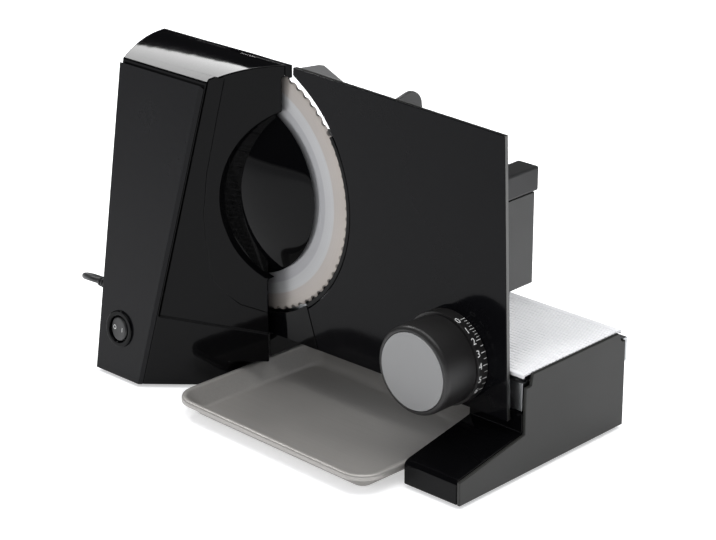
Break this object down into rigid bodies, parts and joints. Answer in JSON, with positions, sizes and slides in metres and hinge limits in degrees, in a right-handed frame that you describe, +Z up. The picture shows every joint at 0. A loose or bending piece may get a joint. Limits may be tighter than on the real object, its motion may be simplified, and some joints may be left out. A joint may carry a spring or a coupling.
{
  "type": "food slicer",
  "caption": "Electric food slicer with a toothed round blade, gauge plate, setting knob, hand guard carriage, steel deck and tray.",
  "frame": {"origin": "middle of the slicer's box without its cord, on the table", "axes": "+Z up, +X right along the blade's plane, +Y away from the user"},
  "size_m": [0.3629, 0.3216, 0.2209],
  "materials": {
    "gloss_black": "gloss",
    "satin_black": "satin",
    "charcoal_plate": "gloss",
    "dark_grey": "satin",
    "steel": "brushed",
    "blade_steel": "ground",
    "aluminium": "satin",
    "silver_disc": "satin",
    "bronze": "satin",
    "nylon": "satin",
    "rubber": "matte"
  },
  "bodies": {
    "base": {"base_left_block": "gloss_black", "base_right_foot": "gloss_black", "blade_guard": "gloss_black", "carriage_guide": "aluminium", "cord_coil": "rubber", "cord_tube": "rubber", "deck_plate": "steel", "deck_rail": "aluminium", "deck_spacer_1": "satin_black", "deck_spacer_2": "satin_black", "deck_spacer_3": "satin_black", "foot_side_panel": "dark_grey", "gear_bush": "bronze", "gear_housing": "gloss_black", "guard_screw_1": "steel", "guard_screw_2": "steel", "guard_screw_3": "steel", "motor_bracket": "steel", "motor_can": "steel", "plug": "rubber", "rubber_foot_1": "rubber", "rubber_foot_2": "rubber", "rubber_foot_3": "rubber", "rubber_foot_4": "rubber", "rubber_foot_5": "rubber", "rubber_foot_6": "rubber", "rubber_foot_7": "rubber", "slide_block": "aluminium", "strain_relief": "rubber", "switch_bezel": "satin_black", "tower_face_panel": "satin_black", "tower_shell": "gloss_black"},
    "blade": {"blade": "blade_steel", "blade_screw": "steel", "drive_gear": "nylon"},
    "rotor": {"worm_shaft": "steel"},
    "gauge": {"gauge_plate": "charcoal_plate", "finger_guard": "charcoal_plate", "guide_rod_1": "steel", "guide_rod_2": "steel"},
    "knob": {"knob_grip": "satin_black", "knob_disc": "silver_disc", "dial_ring": "satin_black", "knob_shaft": "steel", "knob_clip": "steel", "knob_pinion": "nylon"},
    "spindle": {"spindle": "steel"},
    "carriage": {"carriage_runner": "dark_grey", "carriage_left_wall": "dark_grey", "carriage_right_wall": "dark_grey", "carriage_back_wall": "dark_grey", "carriage_grip": "satin_black", "pusher_rail": "steel"},
    "pusher": {"food_pusher": "satin_black"},
    "rocker": {"switch_rocker": "satin_black"},
    "tray": {"slice_tray": "steel"}
  },
  "joints": [
    {"name": "blade_spin", "type": "hinge", "parent": "base", "child": "blade", "pos_m": [-0.0693, -0.01661, 0.134], "axis": [0, 1, 0], "continuous": true},
    {"name": "motor_spin", "type": "hinge", "parent": "base", "child": "rotor", "pos_m": [-0.1156, -0.02611, 0.134], "axis": [0, 0.1461, 0.9893], "continuous": true},
    {"name": "gauge_slide", "type": "slide", "parent": "base", "child": "gauge", "axis": [0, -1, 0], "range_m": [0, 0.02]},
    {"name": "knob_turn", "type": "hinge", "parent": "gauge", "child": "knob", "pos_m": [0.1042, -0.01661, 0.0665], "axis": [0, -1, 0], "range_deg": [0, 314]},
    {"name": "spindle_turn", "type": "hinge", "parent": "gauge", "child": "spindle", "pos_m": [0.1042, -0.01661, 0.054], "axis": [0, -1, 0], "range_deg": [-314, 0]},
    {"name": "carriage_slide", "type": "slide", "parent": "base", "child": "carriage", "axis": [1, 0, 0], "range_m": [-0.125, 0.088]},
    {"name": "pusher_slide", "type": "slide", "parent": "carriage", "child": "pusher", "axis": [0, -1, 0], "range_m": [0, 0.07]},
    {"name": "switch_rock", "type": "hinge", "parent": "base", "child": "rocker", "pos_m": [-0.1301, -0.0811, 0.03385], "axis": [0, 0.1461, 0.9893], "range_deg": [0, 14]},
    {"name": "tray_slide", "type": "slide", "parent": "base", "child": "tray", "axis": [-0.0349, -0.9994, 0], "range_m": [0, 0.12]}
  ],
  "couplings": [
    {"joint": "motor_spin", "follows": "blade_spin", "ratio": 20},
    {"joint": "knob_turn", "follows": "gauge_slide", "rad_per_m": 274},
    {"joint": "spindle_turn", "follows": "gauge_slide", "rad_per_m": -274}
  ]
}
